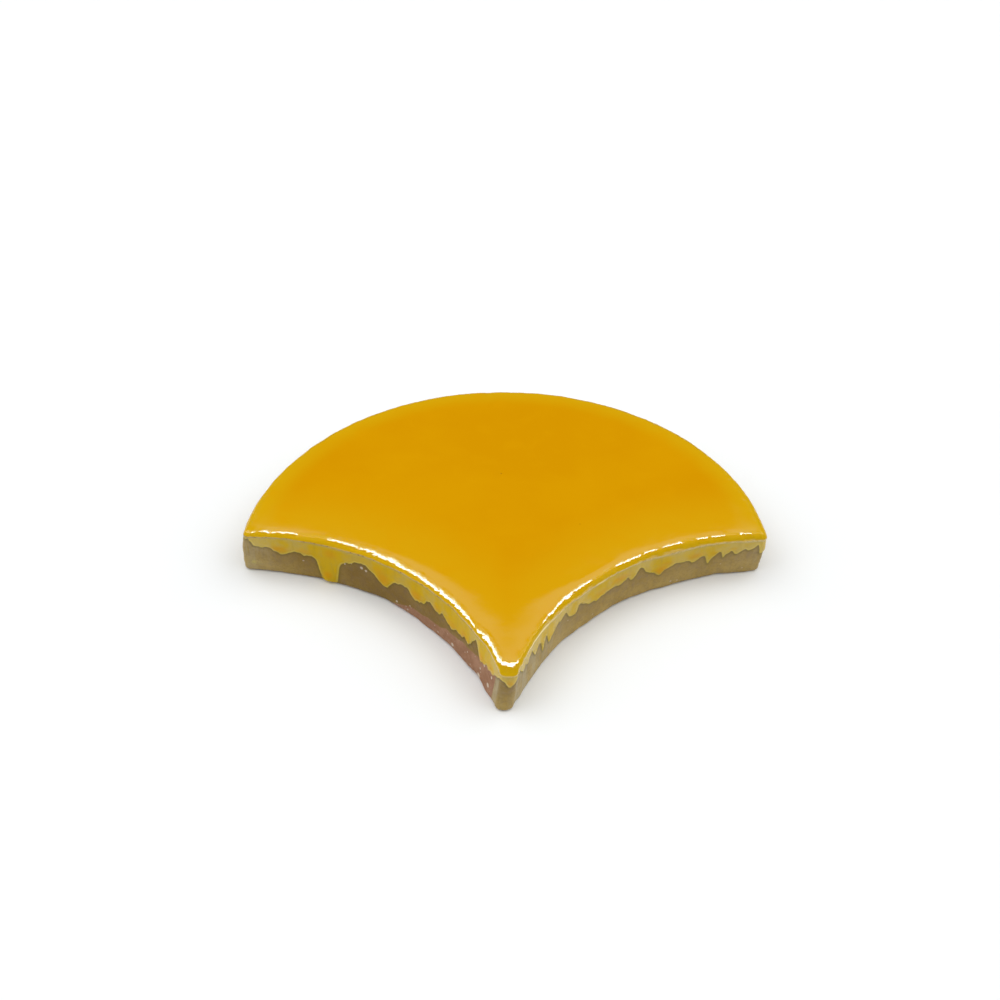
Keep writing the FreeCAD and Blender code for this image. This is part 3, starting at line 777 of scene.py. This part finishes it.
# run glaze on the walls: mustard where thin, orange where pooled, a pale rim along its edge
full = g.mix(tone, (0.575, 0.356, 0.0025, 1), (0.590, 0.385, 0.007, 1))
meagre = g.mix(tone, (0.480, 0.324, 0.030, 1), (0.555, 0.398, 0.068, 1))
patch = g.math("ADD", rich_a, g.math("MULTIPLY_ADD", g.noise(pos, 0.5, 3.0, 0.55), 2.2, -1.10), clamp=True)
run = g.mix(patch, meagre, full)
run = g.mix(g.step(streak, 0.5, 0.78, 0.0, 0.5), run, (0.440, 0.290, 0.020, 1))
run = g.mix(g.step(pool, 0.05, 0.95), run, (0.590, 0.300, 0.0025, 1))
rim = g.math("MULTIPLY", g.step(drip, 0.62, 0.22), g.step(fine, 0.3, 0.7, 0.65, 1.0))
run = g.mix(g.math("MULTIPLY", rim, 0.8), run, (0.640, 0.475, 0.065, 1))
run = g.mix(g.step(below, 1.1, 0.25, 0.0, 0.45), run, (0.500, 0.370, 0.090, 1))

# washed clay: olive brown, browner under the glaze's edge, more golden at the foot
dark_wash = g.mix(g.step(blotch, 0.35, 0.68), (0.215, 0.130, 0.030, 1), (0.250, 0.158, 0.044, 1))
gold_wash = g.mix(g.step(blotch, 0.35, 0.68), (0.410, 0.275, 0.068, 1), (0.465, 0.320, 0.092, 1))
golden = g.math("ADD", tone, g.math("MULTIPLY", g.step(height_mm, 7.5, 1.0, -0.34, 0.2), g.step(tone, 0.0, 0.6, 0.35, 1.0)), clamp=True)
wash = g.mix(golden, dark_wash, gold_wash)
wash = g.mix(g.step(grain, 0.42, 0.72, 0.0, 0.35), wash, (0.180, 0.112, 0.026, 1))
wash = g.mix(g.step(fine, 0.58, 0.78, 0.0, 0.4), wash, (0.430, 0.330, 0.170, 1))
# painted sheen and rubbing: pale grey streaks on the wash where the walls turn at the nose and the corners
rubbed_and_sheen = g.math("MULTIPLY", g.attr("rub_and_sheen"), g.step(g.noise(g.vec("MULTIPLY", pos, (1.0, 1.0, 0.10)).outputs[0], 0.8, 3.0, 0.6), 0.34, 0.66, 0.15, 0.85))
wash = g.mix(rubbed_and_sheen, wash, (0.430, 0.372, 0.235, 1))
umber = g.mix(tone, (0.190, 0.122, 0.064, 1), (0.300, 0.212, 0.110, 1))
wash = g.mix(g.math("MULTIPLY", g.step(g.noise(pos, 0.6, 4.0, 0.62), 0.46, 0.66), g.step(drip, -5.0, -0.3, 0.15, 0.6)), wash, umber)
wash = g.mix(g.math("MULTIPLY", g.attr("stain"), 0.6), wash, (0.520, 0.450, 0.085, 1))
shade = g.step(drip, -1.0, 0.0)
wash = g.mix(g.math("MULTIPLY", shade, 0.52), wash, (0.140, 0.106, 0.010, 1))

# bare red clay with pale grit
clay = g.mix(g.step(g.noise(pos, 0.3, 4.0, 0.6), 0.32, 0.7), (0.300, 0.155, 0.088, 1), (0.375, 0.210, 0.130, 1))
clay = g.mix(g.step(grain, 0.45, 0.8, 0.0, 0.5), clay, (0.240, 0.118, 0.066, 1))
specks = g.cells(pos, 0.85)
speck = g.math("MULTIPLY", g.step(specks.outputs["Distance"], 0.22, 0.10), g.step(specks.outputs["Color"], 0.66, 0.70))
clay = g.mix(g.math("MULTIPLY", speck, 0.6), clay, (0.56, 0.45, 0.36, 1))

is_bare = g.step(g.math("ADD", bare, g.math("MULTIPLY_ADD", grain, 0.5, -0.25)), -0.16, 0.16)
wall = g.mix(is_bare, wash, clay)
grits = g.math("MULTIPLY", g.step(g.math("ADD", grit_a, g.math("MULTIPLY_ADD", fine, 0.22, -0.11)), -0.08, 0.12), 0.85)
wall = g.mix(grits, wall, (0.60, 0.51, 0.40, 1))
is_run = g.step(g.math("ADD", drip, g.math("MULTIPLY_ADD", fine, 0.12, -0.06)), -0.15, 0.13)
wall = g.mix(is_run, wall, run)

# arris: glaze pulled thin off the edge, clay showing through in a broken line; its pale cream stretches are partly thin
# glaze, partly a painted glint
on_face = g.step(arris, -0.02, 0.16)
colour = g.mix(on_face, wall, glaze)
near = g.math("ABSOLUTE", g.math("ADD", arris, g.math("MULTIPLY_ADD", g.noise(pos, 0.8, 2.0, 0.5), 0.30, -0.12)))
near = g.math("SUBTRACT", near, g.math("MULTIPLY", cream_glint_and_lip_shade, 0.20))
thread = g.math("MULTIPLY", g.step(near, 0.26, 0.10), g.math("MULTIPLY", g.math("MAXIMUM", g.step(g.noise(pos, 0.55, 3.0, 0.6), 0.32, 0.56, 0.2, 0.92), g.step(cream_glint_and_lip_shade, 0.5, 1.0, 0.0, 0.9)), g.step(g.math("ADD", tall.outputs[1], g.math("MULTIPLY", cream_glint_and_lip_shade, -6.0)), -54.0, -50.0, 0.4, 1.0)))
# painted glint: the pale cream end of the arris line, partly pale thin glaze
buff = g.mix(cream_glint_and_lip_shade, (0.465, 0.345, 0.128, 1), (0.940, 0.770, 0.360, 1))
buff = g.mix(g.math("MULTIPLY", g.step(g.noise(pos, 1.3, 2.0, 0.6), 0.52, 0.64), g.step(cream_glint_and_lip_shade, 0.55, 0.1)), buff, (0.190, 0.100, 0.040, 1))
colour = g.mix(thread, colour, buff)
g.put(bsdf.inputs["Base Color"], colour)

# gloss: glassy face, a little less on the runs, satin wash, dry clay
wall_rough = g.mix(is_bare, (0.50, 0.50, 0.50, 1), (0.86, 0.86, 0.86, 1))
wall_rough = g.mix(is_run, wall_rough, (0.17, 0.17, 0.17, 1))
rough = g.mix(on_face, wall_rough, (0.055, 0.055, 0.055, 1))
rough = g.mix(faded_and_shade, rough, (0.16, 0.16, 0.16, 1))
rough = g.mix(thread, rough, (0.48, 0.48, 0.48, 1))
g.put(bsdf.inputs["Roughness"], rough)
damp = g.step(tone, 0.3, 1.0, 0.05, 0.16)
shine = g.mix(is_run, damp, g.math("MULTIPLY", g.step(tone, 0.1, 0.9, 0.12, 0.24), g.step(patch, 0.2, 0.9, 1.0, 0.35)))
upright = g.new("ShaderNodeSeparateXYZ")
g.put(upright.inputs[0], g.new("ShaderNodeNewGeometry").outputs["Normal"])
rolled = g.step(upright.outputs[2], math.cos(math.radians(9.0)), math.cos(math.radians(14.0)), 0.08, 1.0)
rolled = g.math("MINIMUM", rolled, g.step(upright.outputs[2], math.cos(math.radians(27.0)), math.cos(math.radians(34.0)), 1.0, 0.5))
shine = g.mix(on_face, shine, g.step(faded_and_shade, 0.0, 1.0, rolled, 0.055))
shine = g.mix(thread, shine, (0.06, 0.06, 0.06, 1))
g.put(bsdf.inputs["Specular IOR Level"], shine)

# fine relief: clay grain on the walls and back, the faintest ripple in the glaze
dry = g.math("MULTIPLY", g.math("SUBTRACT", 1.0, is_run), g.math("SUBTRACT", 1.0, on_face))
pits = g.step(g.cells(pos, 1.1).outputs["Distance"], 0.05, 0.32)
tooth = g.math("ADD", g.math("MULTIPLY", grain, 0.060), g.math("MULTIPLY", fine, 0.028))
tooth = g.math("ADD", tooth, g.math("MULTIPLY", pits, 0.030))
tooth = g.math("MULTIPLY", tooth, dry)
skin = g.math("MULTIPLY", g.noise(pos, 0.55, 2.0, 0.5), 0.010)
lip_zone = g.math("MULTIPLY", g.step(arris, -0.1, 0.3), g.step(arris, 2.6, 1.2))
calm = g.step(tall.outputs[1], -51.5, -47.0, 0.3, 1.0)
ripple = g.math("MULTIPLY", g.math("MULTIPLY", g.noise(pos, 1.25, 2.0, 0.55), 0.075), g.math("MULTIPLY", lip_zone, calm))
relief = g.math("ADD", g.math("ADD", tooth, skin), ripple)
relief = g.math("SUBTRACT", relief, g.math("MULTIPLY", hole, 0.05))
bump = g.new("ShaderNodeBump")
bump.inputs["Strength"].default_value = 1.0
bump.inputs["Distance"].default_value = MM
g.put(bump.inputs["Height"], relief)
g.t.links.new(bump.outputs[0], bsdf.inputs["Normal"])
mesh.materials.append(mat)

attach(tile, "root")
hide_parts("fish_scale_tile")

# ---------------------------------------------------------------- floor
floor_mesh = bpy.data.meshes.new("floor")
floor_mesh.from_pydata([(-6, -6, 0), (6, -6, 0), (6, 6, 0), (-6, 6, 0)], [], [(0, 1, 2, 3)])
floor = bpy.data.objects.new("floor", floor_mesh)
floor.location.z = -0.00008
scene.collection.objects.link(floor)
white = bpy.data.materials.new("floor_white")
white.use_nodes = True
fb = white.node_tree.nodes["Principled BSDF"]
fb.inputs["Base Color"].default_value = (0.888, 0.904, 0.910, 1)
fb.inputs["Roughness"].default_value = 0.9
fb.inputs["Specular IOR Level"].default_value = 0.1
floor_mesh.materials.append(white)

# ---------------------------------------------------------------- camera at the photograph's viewing angle
AZ, EL, ROLL = math.radians(0.3757), math.radians(39.22), math.radians(0.4408)
forward = Vector((math.sin(AZ) * math.cos(EL), math.cos(AZ) * math.cos(EL), -math.sin(EL)))
side = Vector((math.cos(AZ), -math.sin(AZ), 0))
up = side.cross(forward)
cam_x = side * math.cos(ROLL) + up * math.sin(ROLL)
cam_y = -side * math.sin(ROLL) + up * math.cos(ROLL)
cam = bpy.data.cameras.new("camera")
cam.sensor_width = 36.0
cam.lens = 48.47
cam.clip_start = 0.01
cam_ob = bpy.data.objects.new("camera", cam)
m = Matrix((cam_x, cam_y, -forward)).transposed().to_4x4()
m.translation = Vector((-3.24, -255.14, 225.83)) * MM
cam_ob.matrix_world = m
scene.collection.objects.link(cam_ob)
scene.camera = cam_ob

# ---------------------------------------------------------------- soft studio light: a white tent, open and dark behind the tile and behind the camera
scene.view_settings.view_transform = "Standard"
world = bpy.data.worlds.new("studio")
scene.world = world
world.use_nodes = True
w = Nodes(world.node_tree)
w.t.nodes.clear()
way = w.vec("NORMALIZE", w.new("ShaderNodeTexCoord").outputs["Generated"]).outputs[0]


def spot(axis, inner, outer, level):
    a = Vector(axis).normalized()
    d = w.new("ShaderNodeVectorMath", operation="DOT_PRODUCT")
    w.put(d.inputs[0], way)
    w.put(d.inputs[1], tuple(a))
    return w.step(d.outputs["Value"], math.cos(math.radians(outer)), math.cos(math.radians(inner)), 0.0, level)


wx = w.new("ShaderNodeSeparateXYZ")
w.put(wx.inputs[0], way)
MIRROR = Vector((0.0, 0.775, 0.632)).normalized()
# soft light for the shading: overhead and from both sides
soft = w.math("ADD", spot((0, -0.05, 1), 22, 62, 1.40), spot((-0.92, 0.12, 0.42), 22, 58, 1.30))
soft = w.math("ADD", soft, spot((0.92, 0.12, 0.42), 22, 58, 1.30))
soft = w.math("ADD", soft, 0.20)
# what the gloss sees: dark straight behind, a pale ceiling above it, then a row of lamps
cos_m = w.new("ShaderNodeVectorMath", operation="DOT_PRODUCT")
w.put(cos_m.inputs[0], way)
w.put(cos_m.inputs[1], tuple(MIRROR))
off = w.math("MULTIPLY", w.math("ARCCOSINE", cos_m.outputs["Value"]), 180 / math.pi)  # degrees from the mirror direction
rise = w.new("ShaderNodeVectorMath", operation="DOT_PRODUCT")
w.put(rise.inputs[0], way)
w.put(rise.inputs[1], (0.0, -0.632, 0.775))
turn = w.math("MULTIPLY", w.math("ARCTAN2", wx.outputs[0], rise.outputs["Value"]), 180 / math.pi)  # degrees round it, 0 straight up, left negative
arc = w.math("MULTIPLY", w.step(turn, -112, -92), w.step(turn, 82, 62))
lift = w.math("MAXIMUM", w.math("MULTIPLY_ADD", w.math("ARCTAN2", wx.outputs[2], wx.outputs[1]), 180 / math.pi, -39.2), 0.0)
aside = w.math("MULTIPLY", w.math("ARCSINE", wx.outputs[0]), 90 / math.pi)
reach = w.math("SQRT", w.math("ADD", w.math("MULTIPLY", lift, lift), w.math("MULTIPLY", aside, aside)))
ceiling = w.math("ADD", w.step(reach, 5.6, 8.8, 0.0, 0.88), w.step(reach, 8, 21, 0.0, 0.95))
ceiling = w.math("MULTIPLY", ceiling, w.step(off, 19, 28, 4.2, 0.5))
ceiling = w.math("MULTIPLY", ceiling, w.step(off, 46, 40))
ceiling = w.math("MULTIPLY", ceiling, w.math("MULTIPLY", w.step(turn, -100, -80), w.step(turn, 100, 80)))
flare = w.step(w.math("ABSOLUTE", turn), 34, 60)
lamps = w.math("MULTIPLY", w.math("MULTIPLY", w.step(w.math("MULTIPLY_ADD", flare, 2.5, off), 29, 32.5), w.step(w.math("MULTIPLY_ADD", flare, -4.0, off), 43, 40)), arc)
horizon = w.step(wx.outputs[2], 0.20, 0.02, 0.0, 0.12)
bright = w.math("MULTIPLY_ADD", lamps, 11.6, horizon)
gloss = w.new("ShaderNodeCombineXYZ")
for socket, tint in zip(gloss.inputs, (0.62, 1.0, 0.86)):
    w.put(socket, w.math("MULTIPLY_ADD", ceiling, tint, bright))
even = w.new("ShaderNodeCombineXYZ")
for socket in even.inputs:
    w.put(socket, soft)
picked = w.new("ShaderNodeMix", data_type="RGBA")
path = w.new("ShaderNodeLightPath")
w.put(picked.inputs[0], path.outputs["Is Glossy Ray"])
w.put(picked.inputs[6], even.outputs[0])
w.put(picked.inputs[7], gloss.outputs[0])
lit = w.new("ShaderNodeBackground")
w.put(lit.inputs["Color"], picked.outputs[2])
lit.inputs["Strength"].default_value = 0.8
plain = w.new("ShaderNodeBackground")
plain.inputs["Strength"].default_value = 1.0
plain.inputs["Color"].default_value = (1, 1, 1, 1)
pick = w.new("ShaderNodeMixShader")
w.put(pick.inputs[0], path.outputs["Is Camera Ray"])
w.t.links.new(lit.outputs[0], pick.inputs[1])
w.t.links.new(plain.outputs[0], pick.inputs[2])
w.t.links.new(pick.outputs[0], w.new("ShaderNodeOutputWorld").inputs[0])

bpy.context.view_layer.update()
tris = sum(len(p.vertices) - 2 for p in mesh.polygons)
print("glazed_tile", len(mesh.vertices), "corners", tris, "triangles")
